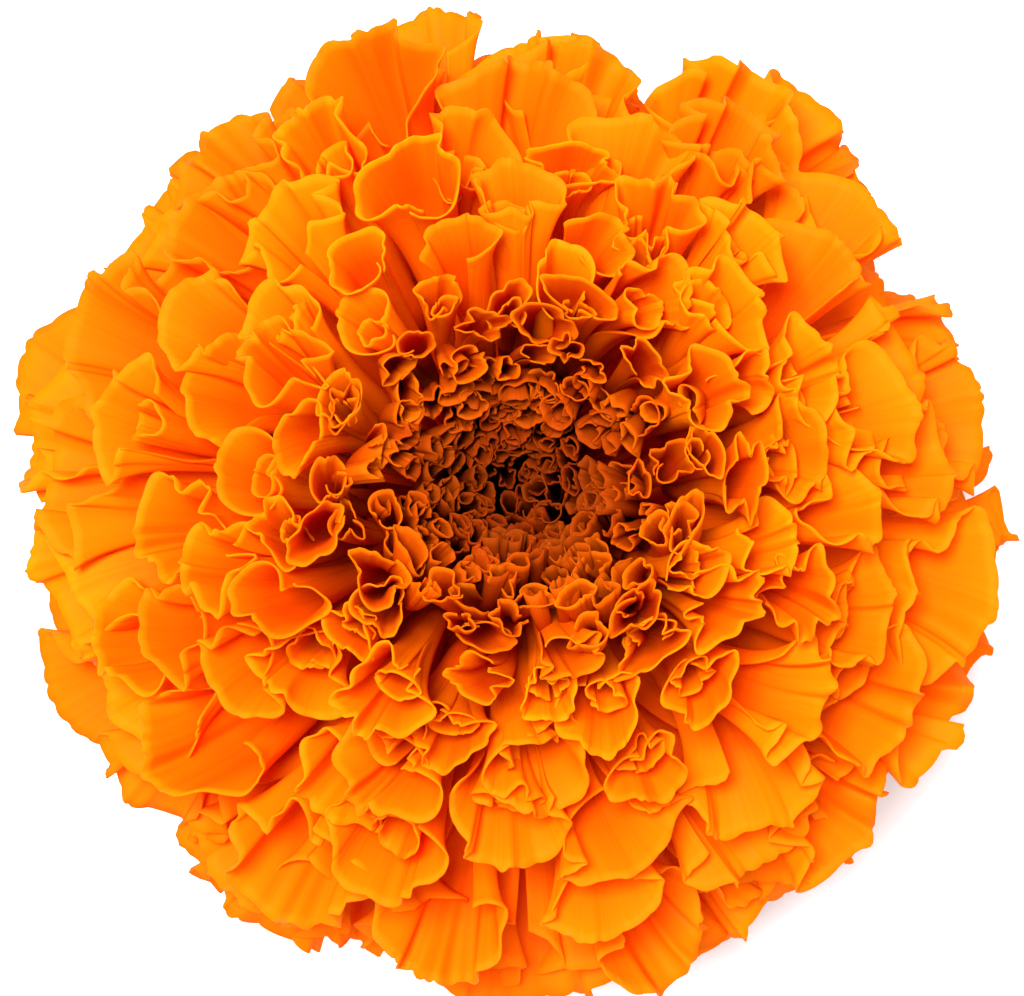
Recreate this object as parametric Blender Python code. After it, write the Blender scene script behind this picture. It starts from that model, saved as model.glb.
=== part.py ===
"""A marigold flower head as picked: a full round head of trumpet florets over a green cup and a short cut stalk.

It rests face up on the cut end of its stalk. The origin is the middle of that cut face, +Z is up.
"""

import math

import bmesh
import bpy
import numpy as np
from mathutils import Vector

# The whole head, in metres
FLORETS = 250
GOLDEN_ANGLE = math.radians(137.508)
HEAD_RADIUS = 0.0440
EQUATOR_HEIGHT = 0.0280
UPPER_HALF_HEIGHT = 0.0310
LOWER_HALF_HEIGHT = 0.0310
LOWEST_POLAR_ANGLE = math.radians(140.0)
CRATER_DEPTH = 0.0110
CRATER_WIDTH = 0.0090
OUTLINE_POINTS = 4001

# Room that a floret takes, from the middle of the crater outward
SPACING_AT_MIDDLE = 0.0022
SPACING_AT_EDGE = 0.0113
SPACING_REACH = 0.0320

# Where the florets stand and how they leave the cup
RECEPTACLE_RADIUS = 0.0080
RECEPTACLE_HEIGHT = 0.0076
RECEPTACLE_DOME = 0.0012
FLORET_FOOT_RADIUS = 0.00024
FLORET_TUBE_RADIUS = 0.00028
FLORET_RIM_SHARE = 0.455
FLORET_CLEARANCE = 0.0003
FLARE_CURVE = 1.15
FLARE_LENGTH_SHARE = 3.2
FLARE_LEAST = 0.0020
FLARE_MOST = 0.6
RIM_WAVE = 0.10
RIM_INNER_SHARE = 0.86
THROAT_SHARE = 0.24
THROAT_DEPTH_SHARE = 0.42
ARC_STEP = 0.0002
BUNDLE_RADIUS = 0.0092
BUNDLE_HEIGHT = 0.0205
ARCH_RISE_SHARE = 0.40
ARCH_TURN_SHARE = 0.38
ARCH_POINTS = 60

# How the florets are grouped
HEART_FLORETS = 21
FLORET_ROWS = 21
GUARD_FLORETS = 34
ROW_FOOT_WIDTH = 0.00028
ROW_FOOT_DEPTH = 0.00015
HEART_SINK = 0.0007

# How finely the florets are drawn: sides, bends in the tube, steps of the flare
WIDE_FROM = 128
INNER_FINENESS = (5, 2, (1.0, 0.0))
WIDE_FINENESS = (6, 3, (1.0, 0.5, 0.0))
OUTER_FINENESS = (8, 4, (1.0, 0.45, 0.0))

# The green cup, the bed inside it and the cut stalk under it
CUP_TEETH = 8
CUP_TOOTH_HEIGHT = 0.0012
CUP_RIB = 0.035
CUP_SIDES = 32
CUP_OUTSIDE = (
    # radius, height, share of the ribs, share of the teeth
    (0.0042, 0.0043, 0.0, 0.0),
    (0.0074, 0.0056, 0.5, 0.0),
    (0.0093, 0.0085, 1.0, 0.0),
    (0.0102, 0.0130, 1.0, 0.0),
    (0.0106, 0.0165, 1.0, 0.0),
    (0.0109, 0.0188, 0.6, 1.0),
)
CUP_INSIDE = (
    (0.0103, 0.0188, 0.6, 1.0),
    (0.0100, 0.0165, 0.0, 0.0),
    (0.0095, 0.0120, 0.0, 0.0),
    (0.0089, 0.0080, 0.0, 0.0),
    (0.0084, 0.0062, 0.0, 0.0),
)
RECEPTACLE_THICKNESS = 0.0011
RECEPTACLE_EDGE = 0.0002
RECEPTACLE_SIDES = 24
RECEPTACLE_RING_SHARES = (0.75, 0.5, 0.25, 0.08)
STALK_RADIUS = 0.0039
STALK_HEIGHT = 0.0040
STALK_EDGE = 0.0002
STALK_SIDES = 20
STALK_SWELLING = ((0.6, 1.02), (1.0, 1.06))


def clear_file():
    """Empty the file of objects and collections."""
    for item in list(bpy.data.objects):
        bpy.data.objects.remove(item, do_unlink=True)
    for group in list(bpy.data.collections):
        bpy.data.collections.remove(group)


def new_collection(name):
    """A collection linked to the scene."""
    group = bpy.data.collections.new(name)
    bpy.context.scene.collection.children.link(group)
    return group


def new_material(name, colour, roughness):
    """A plain plant surface."""
    material = bpy.data.materials.new(name)
    material.use_nodes = True
    shader = material.node_tree.nodes["Principled BSDF"]
    shader.inputs["Base Color"].default_value = (*colour, 1.0)
    shader.inputs["Roughness"].default_value = roughness
    shader.inputs["Metallic"].default_value = 0.0
    material.diffuse_color = (*colour, 1.0)
    return material


def loft(name, sections, group, material):
    """A closed body through closed rings of points, flat at both ends."""
    mesh = bmesh.new()
    rings = [[mesh.verts.new(point) for point in section] for section in sections]
    for low, high in zip(rings, rings[1:]):
        for k in range(len(low)):
            following = (k + 1) % len(low)
            mesh.faces.new((low[k], low[following], high[following], high[k]))
    mesh.faces.new(reversed(rings[0]))
    mesh.faces.new(rings[-1])
    bmesh.ops.recalc_face_normals(mesh, faces=mesh.faces)
    data = bpy.data.meshes.new(name)
    mesh.to_mesh(data)
    mesh.free()
    data.materials.append(material)
    data.shade_smooth()
    body = bpy.data.objects.new(name, data)
    group.objects.link(body)
    return body


def head_outline():
    """Radius and height of the head's surface from the crater's middle to its lowest edge."""
    polar = np.linspace(0.0, LOWEST_POLAR_ANGLE, OUTLINE_POINTS)
    radius = HEAD_RADIUS * np.sin(polar)
    upper = polar < math.pi / 2.0
    half = np.where(upper, UPPER_HALF_HEIGHT, LOWER_HALF_HEIGHT)
    crater = CRATER_DEPTH * np.exp(-((radius / CRATER_WIDTH) ** 2)) * upper
    height = EQUATOR_HEIGHT + half * np.cos(polar) - crater
    return radius, height


def mouth_places():
    """Radius, height and facing of every floret's mouth, from the middle of the head to its edge."""
    radius, height = head_outline()
    steps = np.hypot(np.gradient(radius), np.gradient(height))
    length = np.cumsum(steps)
    spacing = SPACING_AT_EDGE - (SPACING_AT_EDGE - SPACING_AT_MIDDLE) * np.exp(-((length / SPACING_REACH) ** 2))
    count = np.cumsum(radius * steps / spacing**2)
    count = count * FLORETS / count[-1]
    wanted = np.arange(FLORETS) + 0.5
    along = np.interp(wanted, count, length)
    facing_out = -np.gradient(height) / steps
    facing_up = np.gradient(radius) / steps
    columns = (radius, height, facing_out, facing_up)
    return np.stack([np.interp(along, length, column) for column in columns], axis=1)


def rim_radii(places):
    """Half-width of each trumpet, a share of the way to its nearest neighbour."""
    azimuths = np.arange(FLORETS) * GOLDEN_ANGLE
    spread = np.stack(
        [places[:, 0] * np.cos(azimuths), places[:, 0] * np.sin(azimuths), places[:, 1]], axis=1
    )
    apart = np.linalg.norm(spread[:, None, :] - spread[None, :, :], axis=2)
    np.fill_diagonal(apart, np.inf)
    return FLORET_RIM_SHARE * apart.min(axis=1)


def foot_place(number):
    """Radius and height of a floret's foot on the receptacle."""
    share = math.sqrt((number + 0.5) / FLORETS)
    height = RECEPTACLE_HEIGHT + RECEPTACLE_DOME * (1.0 - share**2) + FLORET_CLEARANCE
    return np.array([RECEPTACLE_RADIUS * share, height])


def bundle_place(number):
    """Radius and height at which a floret leaves the cup."""
    return np.array([BUNDLE_RADIUS * math.sqrt((number + 0.5) / FLORETS), BUNDLE_HEIGHT])


def floret_path(number, place, points):
    """Radius and height along one floret, straight up through the cup and then arched to its mouth."""
    foot = foot_place(number)
    throat = bundle_place(number)
    mouth = place[:2]
    facing = place[2:] / np.linalg.norm(place[2:])
    rising = (throat - foot) / np.linalg.norm(throat - foot)
    reach = np.linalg.norm(mouth - throat)
    handle = throat + rising * ARCH_RISE_SHARE * reach
    turn = mouth - facing * ARCH_TURN_SHARE * reach
    t = np.linspace(0.0, 1.0, ARCH_POINTS)[:, None]
    arch = (1 - t) ** 3 * throat + 3 * (1 - t) ** 2 * t * handle + 3 * (1 - t) * t**2 * turn + t**3 * mouth
    whole = np.concatenate([foot[None, :], arch])
    length = np.concatenate([[0.0], np.cumsum(np.linalg.norm(np.diff(whole, axis=0), axis=1))])
    wanted = length[-1] - np.array(points)
    wanted[wanted < 0.0] = 0.0
    return np.stack([np.interp(wanted, length, whole[:, axis]) for axis in range(2)], axis=1), length[-1]


def floret_radius(distance, length, rim, flare):
    """Half-width of a floret at a distance back from its mouth."""
    opening = max(0.0, 1.0 - distance / flare)
    tube = FLORET_TUBE_RADIUS + (FLORET_FOOT_RADIUS - FLORET_TUBE_RADIUS) * distance / length
    return tube + (rim - tube) * opening**FLARE_CURVE


def ring(centre, along, azimuth, radius, sides, waves=0.0):
    """Points round a floret, square to the way it runs; waves lifts and drops them by turns."""
    outward = Vector((math.cos(azimuth), math.sin(azimuth), 0.0))
    across = Vector((-math.sin(azimuth), math.cos(azimuth), 0.0))
    middle = outward * centre[0] + Vector((0.0, 0.0, centre[1]))
    ahead = (outward * along[0] + Vector((0.0, 0.0, along[1]))).normalized()
    beside = ahead.cross(across)
    points = []
    for k in range(sides):
        turn = 2.0 * math.pi * k / sides
        lift = waves * (1.0 if k % 2 else -1.0)
        points.append(middle + (across * math.cos(turn) + beside * math.sin(turn)) * radius + ahead * lift)
    return points


def floret(name, number, place, rim, fineness, group, material, sink=0.0):
    """One trumpet floret: a thin tube from the receptacle that flares to a hollow mouth."""
    sides, bends, shares = fineness
    azimuth = number * GOLDEN_ANGLE
    length = floret_path(number, place, [0.0])[1]
    flare = min(FLARE_LENGTH_SHARE * rim + FLARE_LEAST, FLARE_MOST * length)
    arch = length - float(np.linalg.norm(foot_place(number) - bundle_place(number)))
    stem = [length] + [arch - (arch - flare) * k / (bends - 1) for k in range(bends - 1)]
    outside = stem + [flare * share for share in shares]
    inside = [0.0, flare * THROAT_DEPTH_SHARE]
    path = floret_path(number, place, outside + inside)[0]
    path[0, 1] -= sink
    steps = floret_path(number, place, [min(d + ARC_STEP, length) for d in outside + inside])[0]
    radii = [floret_radius(d, length, rim, flare) for d in outside]
    radii += [rim * RIM_INNER_SHARE, rim * THROAT_SHARE]
    wave = 0.0 if sides % 2 else rim * RIM_WAVE
    waves = [0.0] * (len(outside) - 1) + [wave, wave, 0.0]
    sections = []
    for k, centre in enumerate(path):
        along = centre - steps[k]
        if k == 0:
            along = np.array([0.0, 1.0])
        sections.append(ring(centre, along, azimuth, radii[k], sides, waves[k]))
    return loft(name, sections, group, material)


def foot_strip(name, numbers, group, material):
    """The strip of ovary tissue that holds a row of florets together along their feet."""
    points = []
    for number in numbers:
        radius, height = foot_place(number)
        azimuth = number * GOLDEN_ANGLE
        points.append(Vector((radius * math.cos(azimuth), radius * math.sin(azimuth), height)))
    sections = []
    for k, point in enumerate(points):
        ahead = points[min(k + 1, len(points) - 1)] - points[max(k - 1, 0)]
        side = ahead.cross(Vector((0.0, 0.0, 1.0))).normalized()
        above = side.cross(ahead).normalized()
        if k == 0 or k == len(points) - 1:
            point = point + ahead.normalized() * ROW_FOOT_WIDTH * (1 if k else -1)
        corners = ((1, 1), (-1, 1), (-1, -1), (1, -1))
        sections.append([point + side * u * ROW_FOOT_WIDTH + above * v * ROW_FOOT_DEPTH for u, v in corners])
    return loft(name, sections, group, material)


def join_with(body, florets):
    """Unite a body with every floret of a collection."""
    union = body.modifiers.new("florets", "BOOLEAN")
    union.operation = "UNION"
    union.solver = "EXACT"
    union.operand_type = "COLLECTION"
    union.collection = florets


def helper_collection(name, parent):
    """A hidden collection of bodies that are only used to build others."""
    group = bpy.data.collections.new(name)
    parent.children.link(group)
    group.hide_render = True
    return group


def hide_helpers(group):
    """Draw helper bodies as wires and leave them out of the part."""
    for body in group.objects:
        body.display_type = "WIRE"
        body.hide_render = True


def lathe_sections(profile, sides):
    """Rings of points round the upright axis."""
    turns = [2.0 * math.pi * k / sides for k in range(sides)]
    return [[Vector((r * math.cos(a), r * math.sin(a), z)) for a in turns] for r, z in profile]


def cut_stalk(group, material):
    """The short end of stalk that is left under the cup."""
    profile = [(STALK_RADIUS - STALK_EDGE, 0.0), (STALK_RADIUS, STALK_EDGE)]
    profile += [(STALK_RADIUS * swelling, STALK_HEIGHT * share) for share, swelling in STALK_SWELLING]
    return loft("cut_stalk", lathe_sections(profile, STALK_SIDES), group, material)


def green_cup(group, material):
    """The cup of joined bracts: ribbed outside, smooth inside, toothed round the rim."""
    sections = []
    for radius, height, ribs, teeth in CUP_OUTSIDE + CUP_INSIDE:
        section = []
        for k in range(CUP_SIDES):
            azimuth = 2.0 * math.pi * k / CUP_SIDES
            wave = math.cos(CUP_TEETH * azimuth)
            reach = radius * (1.0 + ribs * CUP_RIB * wave)
            lift = height + teeth * CUP_TOOTH_HEIGHT * (0.5 + 0.5 * wave)
            section.append(Vector((reach * math.cos(azimuth), reach * math.sin(azimuth), lift)))
        sections.append(section)
    return loft("green_cup", sections, group, material)


def receptacle(group, material):
    """The domed bed that the florets stand on."""
    low = RECEPTACLE_HEIGHT - RECEPTACLE_THICKNESS
    edge = RECEPTACLE_RADIUS + RECEPTACLE_EDGE
    profile = [(edge - RECEPTACLE_EDGE, low), (edge, low + RECEPTACLE_EDGE), (edge, RECEPTACLE_HEIGHT)]
    for share in RECEPTACLE_RING_SHARES:
        profile.append((RECEPTACLE_RADIUS * share, RECEPTACLE_HEIGHT + RECEPTACLE_DOME * (1.0 - share**2)))
    return loft("receptacle", lathe_sections(profile, RECEPTACLE_SIDES), group, material)


def build():
    """The whole flower head."""
    clear_file()
    flower = new_collection("marigold_flower")
    helpers = new_collection("helpers")
    helpers.hide_render = True
    gold = new_material("floret_gold", (0.95, 0.36, 0.01), 0.5)
    deep = new_material("floret_deep", (0.80, 0.20, 0.01), 0.55)
    green = new_material("cup_green", (0.16, 0.28, 0.06), 0.6)
    pale = new_material("stalk_green", (0.24, 0.36, 0.10), 0.6)
    brown = new_material("floret_heart", (0.42, 0.10, 0.01), 0.6)

    places = mouth_places()
    rims = rim_radii(places)
    cut_stalk(flower, pale)
    green_cup(flower, green)

    bed = receptacle(flower, brown)
    heart = helper_collection("heart_florets", helpers)
    for number in range(HEART_FLORETS):
        floret(
            f"heart_floret_{number + 1:02d}", number, places[number], rims[number],
            INNER_FINENESS, heart, brown, sink=HEART_SINK,
        )
    join_with(bed, heart)
    hide_helpers(heart)

    first_guard = FLORETS - GUARD_FLORETS
    for row in range(FLORET_ROWS):
        numbers = list(range(HEART_FLORETS + row, first_guard, FLORET_ROWS))
        strip = foot_strip(f"floret_row_{row + 1:02d}", numbers, flower, deep)
        group = helper_collection(f"row_{row + 1:02d}_florets", helpers)
        for number in numbers:
            fineness = INNER_FINENESS if number < WIDE_FROM else WIDE_FINENESS
            floret(
                f"row_{row + 1:02d}_floret_{number:03d}", number, places[number], rims[number],
                fineness, group, deep,
            )
        join_with(strip, group)
        hide_helpers(group)

    for guard in range(GUARD_FLORETS):
        number = first_guard + guard
        floret(
            f"outer_floret_{guard + 1:02d}", number, places[number], rims[number],
            OUTER_FINENESS, flower, gold,
        )


build()
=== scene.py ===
"""The look of the marigold flower head: ruffled florets, green cup, cut stalk, studio and camera."""

import math

import bpy
import numpy as np
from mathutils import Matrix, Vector


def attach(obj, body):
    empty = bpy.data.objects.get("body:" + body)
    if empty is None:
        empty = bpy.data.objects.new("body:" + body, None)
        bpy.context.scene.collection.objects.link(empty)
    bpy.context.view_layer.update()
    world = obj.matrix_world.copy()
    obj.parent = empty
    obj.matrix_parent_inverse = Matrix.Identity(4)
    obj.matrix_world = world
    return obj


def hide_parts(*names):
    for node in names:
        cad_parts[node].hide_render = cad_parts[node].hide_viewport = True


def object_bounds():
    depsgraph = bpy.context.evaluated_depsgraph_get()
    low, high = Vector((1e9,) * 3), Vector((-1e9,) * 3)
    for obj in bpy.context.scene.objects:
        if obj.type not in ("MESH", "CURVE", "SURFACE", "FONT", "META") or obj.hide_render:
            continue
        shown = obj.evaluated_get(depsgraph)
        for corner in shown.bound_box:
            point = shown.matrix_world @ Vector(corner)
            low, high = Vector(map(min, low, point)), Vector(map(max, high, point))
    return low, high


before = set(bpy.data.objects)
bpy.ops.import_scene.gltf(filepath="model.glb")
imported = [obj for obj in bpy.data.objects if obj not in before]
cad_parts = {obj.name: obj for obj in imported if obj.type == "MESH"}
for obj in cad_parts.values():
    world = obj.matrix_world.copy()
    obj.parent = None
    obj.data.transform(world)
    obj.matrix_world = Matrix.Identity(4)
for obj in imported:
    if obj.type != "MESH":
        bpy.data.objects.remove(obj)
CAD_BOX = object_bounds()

# The head's layout, in metres, the same law as the CAD's
FLORETS = 250
GOLDEN_ANGLE = math.radians(137.508)
HEAD_RADIUS = 0.0440
EQUATOR_HEIGHT = 0.0280
UPPER_HALF_HEIGHT = 0.0310
LOWER_HALF_HEIGHT = 0.0310
LOWEST_POLAR_ANGLE = math.radians(140.0)
CRATER_DEPTH = 0.0110
CRATER_WIDTH = 0.0090
SPACING_AT_MIDDLE = 0.0022
SPACING_AT_EDGE = 0.0113
SPACING_REACH = 0.0320
RECEPTACLE_RADIUS = 0.0080
RECEPTACLE_HEIGHT = 0.0076
RECEPTACLE_DOME = 0.0012
BUNDLE_RADIUS = 0.0092
BUNDLE_HEIGHT = 0.0205
HEART_FLORETS = 21
FLORET_ROWS = 21
GUARD_FLORETS = 34
ARCH_RISE_SHARE = 0.40
ARCH_TURN_SHARE = 0.38
ARCH_POINTS = 80
OUTLINE_POINTS = 4001

# How the florets are dressed: florets before these numbers get three curls, two curls, or a fold inside
CURLED_FLORETS = 36
LOBED_FLORETS = 66
FOLDED_FLORETS = 150
CURL_OFFSET = 0.40
FOLD_CHANCE = 0.6
FOLD_DROP = 0.12
ACROSS_HEART = 0.013
HEART_STRETCH = 0.16

# The limbs, by their width in metres
FINENESS_WIDTHS = (0.0012, 0.0025, 0.012)
FINENESS_COLUMNS = (40, 52, 116)
FINENESS_ROWS = (11, 14, 22)
FOLD_WIDTHS = (0.0025, 0.006, 0.012)
FOLD_DEPTHS = (0.40, 0.40, 0.27)
SMALL_AND_LARGE = (0.003, 0.012)
THROAT_RADII = (0.00048, 0.00120)
DEPTH_RATIOS = (0.95, 0.75)
SCALLOP_HEIGHTS = (0.00014, 0.00038)
SCALLOPS_PER_METRE = 2100.0
SLIT_WIDTH = 0.20
PETAL_THICKNESS = 0.00030
RIM_THINNING = 0.00014
PATH_STEP = 0.0004
TUBE_ROWS = 14
TUBE_COLUMNS = 8
TUBE_OVERLAP = 0.0006

# The lowest petals bend over the surface, and stay clear of it
FLOOR_GAP = 0.0004
FLOOR_SOFTNESS = 0.0009

rng = np.random.default_rng(23)


def head_outline():
    polar = np.linspace(0.0, LOWEST_POLAR_ANGLE, OUTLINE_POINTS)
    radius = HEAD_RADIUS * np.sin(polar)
    upper = polar < math.pi / 2.0
    half = np.where(upper, UPPER_HALF_HEIGHT, LOWER_HALF_HEIGHT)
    crater = CRATER_DEPTH * np.exp(-((radius / CRATER_WIDTH) ** 2)) * upper
    height = EQUATOR_HEIGHT + half * np.cos(polar) - crater
    return radius, height


def mouth_places():
    """Radius, height and facing of every floret's mouth, and the room that it has."""
    radius, height = head_outline()
    steps = np.hypot(np.gradient(radius), np.gradient(height))
    length = np.cumsum(steps)
    nearness = np.exp(-((length / SPACING_REACH) ** 2))
    spacing = SPACING_AT_EDGE - (SPACING_AT_EDGE - SPACING_AT_MIDDLE) * nearness
    count = np.cumsum(radius * steps / spacing**2)
    count = count * FLORETS / count[-1]
    along = np.interp(np.arange(FLORETS) + 0.5, count, length)
    facing_out = -np.gradient(height) / steps
    facing_up = np.gradient(radius) / steps
    columns = (radius, height, facing_out, facing_up)
    places = np.stack([np.interp(along, length, column) for column in columns], axis=1)
    azimuths = np.arange(FLORETS) * GOLDEN_ANGLE
    spots = np.stack(
        [places[:, 0] * np.cos(azimuths), places[:, 0] * np.sin(azimuths), places[:, 1]], axis=1
    )
    apart = np.linalg.norm(spots[:, None, :] - spots[None, :, :], axis=2)
    np.fill_diagonal(apart, np.inf)
    return places, azimuths, apart.min(axis=1)


def smooth(x, low, high):
    t = np.clip((x - low) / (high - low), 0.0, 1.0)
    return t * t * (3.0 - 2.0 * t)


def unit(v):
    return v / np.linalg.norm(v, axis=-1, keepdims=True)


class Path:
    """A floret's middle line in space, measured back from its mouth."""

    def __init__(self, number, place, azimuth, lean, push, tilt):
        share = math.sqrt((number + 0.5) / FLORETS)
        out = np.array([math.cos(azimuth), math.sin(azimuth), 0.0])
        mouth_out = np.array([math.cos(azimuth + lean), math.sin(azimuth + lean), 0.0])
        up = np.array([0.0, 0.0, 1.0])
        bed = RECEPTACLE_HEIGHT + RECEPTACLE_DOME * (1 - share**2)
        foot = out * RECEPTACLE_RADIUS * share + up * bed
        throat = out * BUNDLE_RADIUS * share + up * BUNDLE_HEIGHT
        facing = unit(place[2:])
        across = np.array([-mouth_out[1], mouth_out[0], 0.0])
        over = mouth_out * facing[1] - up * facing[0]
        ahead = unit(mouth_out * facing[0] + up * facing[1] + over * tilt[0] + across * tilt[1])
        mouth = mouth_out * place[0] + up * place[1] + ahead * push
        rising = unit(throat - foot)
        reach = np.linalg.norm(mouth - throat)
        handle = throat + rising * ARCH_RISE_SHARE * reach
        turn = mouth - ahead * ARCH_TURN_SHARE * reach
        t = np.linspace(0.0, 1.0, ARCH_POINTS)[:, None]
        arch = (1 - t) ** 3 * throat + 3 * (1 - t) ** 2 * t * handle + 3 * (1 - t) * t**2 * turn + t**3 * mouth
        self.points = np.concatenate([foot[None, :], arch, (mouth + ahead * 0.02)[None, :]])
        gaps = np.linalg.norm(np.diff(self.points, axis=0), axis=1)
        self.places = np.concatenate([[0.0], np.cumsum(gaps)])
        self.length = self.places[-2]
        self.side = np.array([-math.sin(azimuth + lean * 0.7), math.cos(azimuth + lean * 0.7), 0.0])

    def place(self, where):
        """Points at distances along the line."""
        return np.stack([np.interp(where, self.places, self.points[:, k]) for k in range(3)], axis=-1)

    def at(self, back):
        """Points, sideways directions and outer sides at distances back from the mouth."""
        where = np.clip(self.length - np.asarray(back), 0.0, None)
        ahead = unit(self.place(where + PATH_STEP) - self.place(where - PATH_STEP))
        side = unit(self.side - ahead * (ahead @ self.side)[..., None])
        outer = np.cross(side, ahead)
        return self.place(where), side, outer


class Body:
    """Collects the grids of one piece."""

    def __init__(self):
        self.points, self.faces, self.facts = [], [], []
        self.total = 0

    def add(self, points, faces, facts):
        self.points.append(points.reshape(-1, 3))
        self.faces.append(faces + self.total)
        self.facts.append(facts.reshape(-1, facts.shape[-1]))
        self.total += self.points[-1].shape[0]

    def finish(self, name, material, attributes):
        points = np.concatenate(self.points)
        faces = np.concatenate(self.faces)
        facts = np.concatenate(self.facts)
        data = bpy.data.meshes.new(name)
        data.vertices.add(len(points))
        data.vertices.foreach_set("co", points.astype(np.float32).ravel())
        data.loops.add(faces.size)
        data.loops.foreach_set("vertex_index", faces.astype(np.int32).ravel())
        data.polygons.add(len(faces))
        data.polygons.foreach_set("loop_start", np.arange(0, faces.size, 4, dtype=np.int32))
        data.update(calc_edges=True)
        data.shade_smooth()
        for k, attribute in enumerate(attributes):
            layer = data.attributes.new(attribute, "FLOAT", "POINT")
            layer.data.foreach_set("value", facts[:, k].astype(np.float32).copy())
        data.materials.append(material)
        piece = bpy.data.objects.new(name, data)
        bpy.context.scene.collection.objects.link(piece)
        return piece


def quads(rows, columns, wrap=False, flip=False):
    """Four-sided faces over a grid of points."""
    across = np.arange(columns if wrap else columns - 1)
    low = np.arange(rows - 1)[:, None] * columns
    a = low + across
    b = low + (across + 1) % columns
    faces = np.stack([a, b, b + columns, a + columns], axis=-1).reshape(-1, 4)
    return faces[:, ::-1] if flip else faces


def shell(body, grid, thickness, facts):
    """A thin closed sheet about a grid of points."""
    rows, columns = grid.shape[:2]
    normal = np.cross(np.gradient(grid, axis=1), np.gradient(grid, axis=0))
    normal = normal / (np.linalg.norm(normal, axis=-1, keepdims=True) + 1e-12)
    front = grid + normal * thickness[..., None] / 2
    back = grid - normal * thickness[..., None] / 2
    size = rows * columns
    edge = np.concatenate(
        [
            np.arange(columns),
            np.arange(1, rows) * columns + columns - 1,
            (rows - 1) * columns + np.arange(columns - 2, -1, -1),
            np.arange(rows - 2, 0, -1) * columns,
        ]
    )
    after = np.roll(edge, -1)
    rim = np.stack([edge + size, after + size, after, edge], axis=-1)
    faces = np.concatenate([quads(rows, columns), quads(rows, columns, flip=True) + size, rim])
    both = np.concatenate([facts, facts])
    side = np.concatenate([np.zeros(facts.shape[:2]), np.ones(facts.shape[:2])])
    body.add(np.concatenate([front, back]), faces, np.concatenate([both, side[..., None]], axis=-1))


ATTRIBUTES = ("along", "across", "outness", "chance", "inside")


def limb(body, path, width, length, throat, chance, outness, offset=0.0, heading=0.0):
    """The trumpet end of one floret, with its folded, scalloped margin."""
    big = smooth(width, 0.0035, 0.0100)
    columns = int(round(np.interp(width, FINENESS_WIDTHS, FINENESS_COLUMNS)))
    rows = int(round(np.interp(width, FINENESS_WIDTHS, FINENESS_ROWS)))
    v = (np.linspace(0.0, 1.0, rows) ** 0.75)[:, None]
    s = np.linspace(-1.0, 1.0, columns)[None, :]

    open_shell = rng.random() < 0.12 + 0.25 * big
    wrap_end = rng.uniform(0.66, 0.84) if open_shell else rng.uniform(0.92, 1.08)
    wrap = 1.03 + (wrap_end - 1.03) * smooth(v, 0.2, 0.95)
    angle = s * math.pi * wrap

    # the bell of the trumpet
    flare = rng.uniform(0.8, 1.2)
    lip = rng.uniform(0.18, 0.42)
    bell = (1.0 - lip) * v**flare + lip * v**7

    # folds of the margin: a few deep lobes, shallower ones on them, edges of the slit tucked in
    lobes = rng.integers(3, 6) if big > 0.5 else rng.integers(2, 5)
    phase = rng.uniform(0.0, 2.0 * math.pi, 6)
    deep = np.interp(width, FOLD_WIDTHS, FOLD_DEPTHS) * rng.uniform(0.7, 1.25)
    around = angle + 0.30 * np.sin(2.0 * angle + phase[0])
    lobe = np.cos(lobes * around + phase[1])
    ripple = np.cos((2 * lobes + 1) * around + phase[2])
    frill = np.cos((3 * lobes + 2) * around + phase[3])
    fold = v**1.3 * deep * lobe + v**2.6 * (0.10 + 0.22 * big) * deep * ripple + v**4 * 0.17 * deep * frill
    hand = 1.0 if rng.random() < 0.5 else -1.0
    near_slit = np.exp(-(((1.0 - np.abs(s)) / SLIT_WIDTH) ** 2))
    tuck = rng.uniform(0.15, 0.55) * near_slit * np.where(s * hand > 0, 1.0, 0.25) * v**1.2
    if open_shell:
        tuck = tuck * 0.15
    factor = 1.0 + fold - tuck

    across_radius = throat + (width / 2 - throat) * bell * factor
    depth_ratio = np.interp(width, SMALL_AND_LARGE, DEPTH_RATIOS) * rng.uniform(0.55, 1.15)
    outer_radius = throat + (width / 2 * depth_ratio - throat) * bell * factor

    # how far the margin reaches: the outer lip is the longest, the slit's edges the shortest
    tall = rng.uniform(0.04, 0.22)
    scallops = max(7, int(width * SCALLOPS_PER_METRE))
    uneven = 0.9 * np.sin(3.0 * angle + phase[5]) + phase[4]
    notch = np.abs(np.cos(0.5 * scallops * around + uneven)) ** 0.7
    reach = width * (tall * np.cos(angle) - 0.06 * near_slit) * v**2.2
    reach = reach - width * deep * 0.30 * v**4 * lobe
    strength = 0.65 + 0.35 * np.cos(2.0 * angle + phase[3])
    reach = reach + np.interp(width, SMALL_AND_LARGE, SCALLOP_HEIGHTS) * (notch - 0.6) * strength * v**8
    back = length * (1.0 - v) - reach

    points, side, outer = path.at(back)
    loose = 0.8 if offset == 0.0 else 0.2
    roll = heading + rng.normal(0.0, 0.35) + (1.0 - big) * rng.normal(0.0, loose)
    turned = angle + roll
    aside = offset * smooth(v, 0.0, 1.0)
    middle = 0.12 * width * v**1.5
    grid = (
        points
        + side * (across_radius * np.sin(turned) + aside * math.sin(heading))[..., None]
        + outer * (outer_radius * np.cos(turned) + middle + aside * math.cos(heading))[..., None]
    )
    low = (grid[..., 2] - FLOOR_GAP) / FLOOR_SOFTNESS
    grid[..., 2] = FLOOR_GAP + FLOOR_SOFTNESS * np.logaddexp(0.0, low)
    flat = np.zeros(grid.shape[:2])
    sturdiness = np.interp(width, [0.0025, 0.010], [0.75, 1.0])
    thickness = (PETAL_THICKNESS - RIM_THINNING * v**2) * sturdiness + flat
    facts = np.stack([v + flat, s + flat, outness + flat, chance + flat], axis=-1)
    shell(body, grid, thickness, facts)


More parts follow.
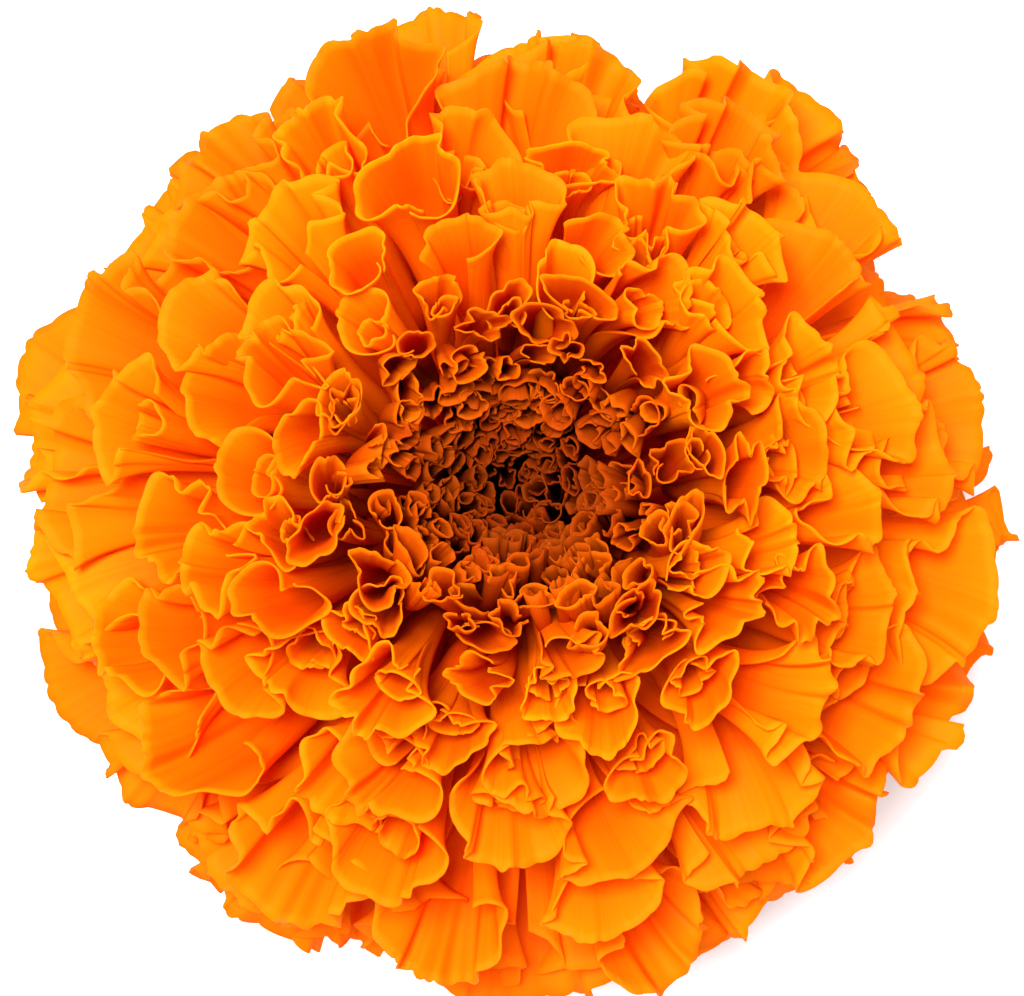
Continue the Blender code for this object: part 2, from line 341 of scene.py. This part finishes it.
def tube(body, path, start, throat, chance, outness):
    """The thin tube of one floret, from its foot to its limb."""
    rows, columns = TUBE_ROWS, TUBE_COLUMNS
    back = np.linspace(path.length, start - TUBE_OVERLAP, rows)
    points, side, outer = path.at(back)
    share = np.linspace(0.0, 1.0, rows)
    radius = throat * (0.62 + 0.36 * smooth(share, 0.3, 1.0))
    turn = np.arange(columns) * 2 * math.pi / columns
    grid = (
        points[:, None, :]
        + side[:, None, :] * (radius[:, None] * np.cos(turn))[..., None]
        + outer[:, None, :] * (radius[:, None] * np.sin(turn))[..., None]
    )
    facts = np.zeros((rows, columns, 5))
    facts[..., 0] = -1.0 + share[:, None]
    facts[..., 2] = outness
    facts[..., 3] = chance
    body.add(grid, quads(rows, columns, wrap=True, flip=True), facts)


places, azimuths, room = mouth_places()


def floret(body, number):
    """One whole floret."""
    outness = number / (FLORETS - 1.0)
    chance = rng.random()
    fullness = np.interp(outness, [0.0, 0.4, 0.8], [1.12, 1.02, 1.18])
    width = room[number] * rng.uniform(0.92, 1.36) * fullness
    length = (0.0090 + 1.25 * width) * rng.uniform(0.9, 1.12)
    throat = np.interp(width, SMALL_AND_LARGE, THROAT_RADII)
    lean = rng.normal(0.0, 0.22) * room[number] / max(places[number, 0], 0.004)
    unevenness = np.interp(outness, [0.6, 0.8], [0.18, 0.11])
    push = rng.normal(-0.08, unevenness) * room[number]
    tilt = rng.normal(0.0, 0.22, 2)
    place = places[number].copy()
    near_heart = math.exp(-((place[0] / ACROSS_HEART) ** 2))
    place[0] *= 1.0 + HEART_STRETCH * math.cos(2.0 * azimuths[number]) * near_heart
    path = Path(number, place, azimuths[number], lean, push, tilt)
    if number < LOBED_FLORETS:
        first = rng.uniform(0.0, 2.0 * math.pi)
        curls = 3 if number < CURLED_FLORETS else 2
        for k in range(curls):
            size = width * rng.uniform(0.55, 0.85)
            path.length -= rng.uniform(0.0, 0.20) * width
            heading = first + k * 2.0 * math.pi / curls
            limb(body, path, size, length, throat * 0.7, chance, outness, CURL_OFFSET * width, heading)
    else:
        limb(body, path, width, length, throat, chance, outness)
        if number < FOLDED_FLORETS and rng.random() < FOLD_CHANCE:
            path.length -= FOLD_DROP * width
            size = width * rng.uniform(0.45, 0.6)
            inward = rng.uniform(2.2, 4.1)
            limb(body, path, size, length * 0.7, throat * 0.8, chance, outness, FOLD_DROP * width, inward)
            path.length += FOLD_DROP * width
    tube(body, path, length, throat, chance, outness)


def petal_material(name):
    material = bpy.data.materials.new(name)
    material.use_nodes = True
    nodes, links = material.node_tree.nodes, material.node_tree.links
    shader = nodes["Principled BSDF"]
    output = nodes["Material Output"]

    def attribute(key):
        node = nodes.new("ShaderNodeAttribute")
        node.attribute_name = key
        return node.outputs["Fac"]

    def ramp(stops, source):
        node = nodes.new("ShaderNodeValToRGB")
        while len(node.color_ramp.elements) < len(stops):
            node.color_ramp.elements.new(0.5)
        for element, (place, colour) in zip(node.color_ramp.elements, stops):
            element.position = place
            element.color = (*colour, 1.0)
        links.new(source, node.inputs["Fac"])
        return node.outputs["Color"]

    def mix(kind, factor, a, b):
        node = nodes.new("ShaderNodeMix")
        node.data_type = "RGBA"
        node.blend_type = kind
        for value, socket in ((factor, node.inputs["Factor"]), (a, node.inputs[6]), (b, node.inputs[7])):
            if isinstance(value, (int, float)):
                socket.default_value = value
            elif isinstance(value, tuple):
                socket.default_value = (*value, 1.0)
            else:
                links.new(value, socket)
        return node.outputs[2]

    def maths(kind, a, b):
        node = nodes.new("ShaderNodeMath")
        node.operation = kind
        for value, socket in ((a, node.inputs[0]), (b, node.inputs[1])):
            if isinstance(value, (int, float)):
                socket.default_value = value
            else:
                links.new(value, socket)
        return node.outputs[0]

    along = attribute("along")
    outness = attribute("outness")
    across = attribute("across")
    chance = attribute("chance")
    inside = attribute("inside")

    # Colour by place on the head: darker and browner towards the middle. This is partly the young florets' own
    # deeper colour and partly painted shade of the crater.
    head = ramp(
        [
            (0.0, (0.11, 0.005, 0.001)),
            (0.10, (0.27, 0.010, 0.0005)),
            (0.24, (0.84, 0.092, 0.0)),
            (0.36, (1.0, 0.255, 0.0)),
            (0.75, (1.0, 0.208, 0.0)),
            (1.0, (1.0, 0.158, 0.0)),
        ],
        outness,
    )
    # Redder and darker towards the base of each limb and in the tubes. This is partly the florets' own deeper
    # colour there and partly painted shade down in the trumpets.
    throat = mix("MULTIPLY", 1.0, head, (1.0, 0.28, 0.5))
    body = mix("MIX", ramp([(0.0, (0, 0, 0)), (0.88, (1, 1, 1))], along), throat, head)
    # The inner face of each limb is redder than the outer one, as the petal's upper side is. It is also much
    # darker towards the middle of the head, and that darkening is painted shade inside the cups near the
    # crater.
    inner_face_tone_and_shade = ramp([(0.0, (0.50, 0.34, 0.4)), (0.25, (0.84, 0.58, 0.6)), (0.50, (1.0, 0.82, 0.8))], outness)
    inner_face_with_shade = mix("MULTIPLY", 1.0, body, inner_face_tone_and_shade)
    body = mix("MIX", inside, body, inner_face_with_shade)
    # Paler, yellower colour along the rims of the limbs: a painted highlight where the rounded rims catch the
    # light.
    rim_highlight_colour = ramp(
        [
            (0.0, (0.30, 0.036, 0.001)),
            (0.13, (0.68, 0.105, 0.001)),
            (0.36, (1.0, 0.35, 0.001)),
            (0.75, (1.0, 0.30, 0.001)),
            (1.0, (1.0, 0.22, 0.001)),
        ],
        outness,
    )
    edge = ramp([(0.74, (0, 0, 0)), (1.0, (0.68, 0.68, 0.68))], along)
    body = mix("MIX", edge, body, rim_highlight_colour)
    shade = ramp([(0.0, (0.97, 0.84, 0.8)), (1.0, (1.0, 1.12, 1.1))], chance)
    body = mix("MULTIPLY", 1.0, body, shade)

    # fine lines that run the length of the limb
    lines = nodes.new("ShaderNodeCombineXYZ")
    links.new(maths("MULTIPLY", across, 26.0), lines.inputs[0])
    links.new(maths("MULTIPLY", along, 1.2), lines.inputs[1])
    links.new(maths("MULTIPLY", chance, 40.0), lines.inputs[2])
    noise = nodes.new("ShaderNodeTexNoise")
    noise.inputs["Scale"].default_value = 1.0
    noise.inputs["Detail"].default_value = 3.0
    links.new(lines.outputs[0], noise.inputs["Vector"])
    veins = ramp([(0.30, (0.96, 0.86, 0.8)), (0.65, (1.0, 1.0, 1.0))], noise.outputs["Fac"])
    body = mix("MULTIPLY", 0.8, body, veins)
    links.new(body, shader.inputs["Base Color"])
    shader.inputs["Roughness"].default_value = 0.6
    shader.inputs["Specular IOR Level"].default_value = 0.04

    bump = nodes.new("ShaderNodeBump")
    bump.inputs["Strength"].default_value = 0.35
    bump.inputs["Distance"].default_value = 0.0002
    links.new(noise.outputs["Fac"], bump.inputs["Height"])
    links.new(bump.outputs["Normal"], shader.inputs["Normal"])

    through = nodes.new("ShaderNodeBsdfTranslucent")
    links.new(mix("MULTIPLY", 1.0, body, (1.0, 0.62, 0.5)), through.inputs["Color"])
    blend = nodes.new("ShaderNodeMixShader")
    blend.inputs[0].default_value = 0.42
    links.new(shader.outputs[0], blend.inputs[1])
    links.new(through.outputs[0], blend.inputs[2])
    links.new(blend.outputs[0], output.inputs["Surface"])
    return material


petals = petal_material("petal")
first_guard = FLORETS - GUARD_FLORETS


def make_piece(name, numbers, node):
    body = Body()
    for number in numbers:
        floret(body, number)
    piece = body.finish(name, petals, ATTRIBUTES)
    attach(piece, "root")
    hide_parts(node)


for row in range(FLORET_ROWS):
    make_piece(
        f"petal_row_{row + 1:02d}", range(HEART_FLORETS + row, first_guard, FLORET_ROWS),
        f"floret_row_{row + 1:02d}",
    )
for guard in range(GUARD_FLORETS):
    make_piece(
        f"outer_petal_{guard + 1:02d}", [first_guard + guard],
        f"outer_floret_{guard + 1:02d}",
    )
make_piece("heart_petals", range(HEART_FLORETS), "receptacle")


def plain(name, colour, roughness):
    material = bpy.data.materials.new(name)
    material.use_nodes = True
    shader = material.node_tree.nodes["Principled BSDF"]
    shader.inputs["Base Color"].default_value = (*colour, 1.0)
    shader.inputs["Roughness"].default_value = roughness
    return material


def leaf_material(name, dark, light, grain, streaks):
    """Green skin with streaks that run up it, and fine pores."""
    material = bpy.data.materials.new(name)
    material.use_nodes = True
    nodes, links = material.node_tree.nodes, material.node_tree.links
    shader = nodes["Principled BSDF"]
    place = nodes.new("ShaderNodeTexCoord")
    stretch = nodes.new("ShaderNodeMapping")
    stretch.inputs["Scale"].default_value = (streaks, streaks, streaks * 0.12)
    links.new(place.outputs["Object"], stretch.inputs["Vector"])
    streak = nodes.new("ShaderNodeTexNoise")
    streak.inputs["Scale"].default_value = 1.0
    streak.inputs["Detail"].default_value = 4.0
    links.new(stretch.outputs["Vector"], streak.inputs["Vector"])
    tone = nodes.new("ShaderNodeValToRGB")
    tone.color_ramp.elements[0].position = 0.34
    tone.color_ramp.elements[0].color = (*dark, 1.0)
    tone.color_ramp.elements[1].position = 0.66
    tone.color_ramp.elements[1].color = (*light, 1.0)
    links.new(streak.outputs["Fac"], tone.inputs["Fac"])
    links.new(tone.outputs["Color"], shader.inputs["Base Color"])
    pores = nodes.new("ShaderNodeTexNoise")
    pores.inputs["Scale"].default_value = grain
    pores.inputs["Detail"].default_value = 2.0
    links.new(place.outputs["Object"], pores.inputs["Vector"])
    both = nodes.new("ShaderNodeMath")
    both.operation = "ADD"
    links.new(streak.outputs["Fac"], both.inputs[0])
    links.new(pores.outputs["Fac"], both.inputs[1])
    bump = nodes.new("ShaderNodeBump")
    bump.inputs["Strength"].default_value = 0.5
    bump.inputs["Distance"].default_value = 0.0002
    links.new(both.outputs[0], bump.inputs["Height"])
    links.new(bump.outputs["Normal"], shader.inputs["Normal"])
    rough = nodes.new("ShaderNodeMapRange")
    rough.inputs["To Min"].default_value = 0.48
    rough.inputs["To Max"].default_value = 0.68
    links.new(pores.outputs["Fac"], rough.inputs["Value"])
    links.new(rough.outputs["Result"], shader.inputs["Roughness"])
    return material


cup_skin = leaf_material("cup_skin", (0.045, 0.105, 0.014), (0.150, 0.260, 0.045), 2600.0, 900.0)
stalk_skin = leaf_material("stalk_skin", (0.120, 0.200, 0.040), (0.300, 0.400, 0.120), 2200.0, 1500.0)
for node, skin in (("green_cup", cup_skin), ("cut_stalk", stalk_skin)):
    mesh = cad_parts[node].data
    mesh.materials.clear()
    mesh.materials.append(skin)

# Studio
bpy.ops.mesh.primitive_plane_add(size=6.0, location=(0.0, 0.0, CAD_BOX[0].z))
floor = bpy.context.object
floor.name = "studio_floor"
floor.data.materials.append(plain("studio_white", (0.97, 0.97, 0.97), 0.9))

world = bpy.data.worlds.new("studio")
world.use_nodes = True
world.node_tree.nodes["Background"].inputs["Color"].default_value = (1.0, 1.0, 1.0, 1.0)
world.node_tree.nodes["Background"].inputs["Strength"].default_value = 0.84
bpy.context.scene.world = world


def softbox(name, place, size, power):
    light = bpy.data.lights.new(name, "AREA")
    light.shape = "DISK"
    light.size = size
    light.energy = power
    lamp = bpy.data.objects.new(name, light)
    bpy.context.scene.collection.objects.link(lamp)
    lamp.location = place
    aim = Vector((0.0, 0.0, 0.03)) - lamp.location
    lamp.rotation_mode = "QUATERNION"
    lamp.rotation_quaternion = aim.to_track_quat("-Z", "Y")


softbox("key", Vector((-0.11, 0.07, 0.62)), 0.24, 7.6)

elevation = math.radians(85.5)
camera_data = bpy.data.cameras.new("camera")
camera_data.lens = 82.7
camera_data.sensor_width = 36.0
camera = bpy.data.objects.new("camera", camera_data)
bpy.context.scene.collection.objects.link(camera)
target = Vector((-0.0001, -0.0002, 0.036))
distance = 0.215
back = Vector((0.0, -math.cos(elevation), math.sin(elevation)))
camera.location = target + back * distance
camera.rotation_mode = "QUATERNION"
camera.rotation_quaternion = (-back).to_track_quat("-Z", "Y")
bpy.context.scene.camera = camera
bpy.context.scene.view_settings.view_transform = "Standard"
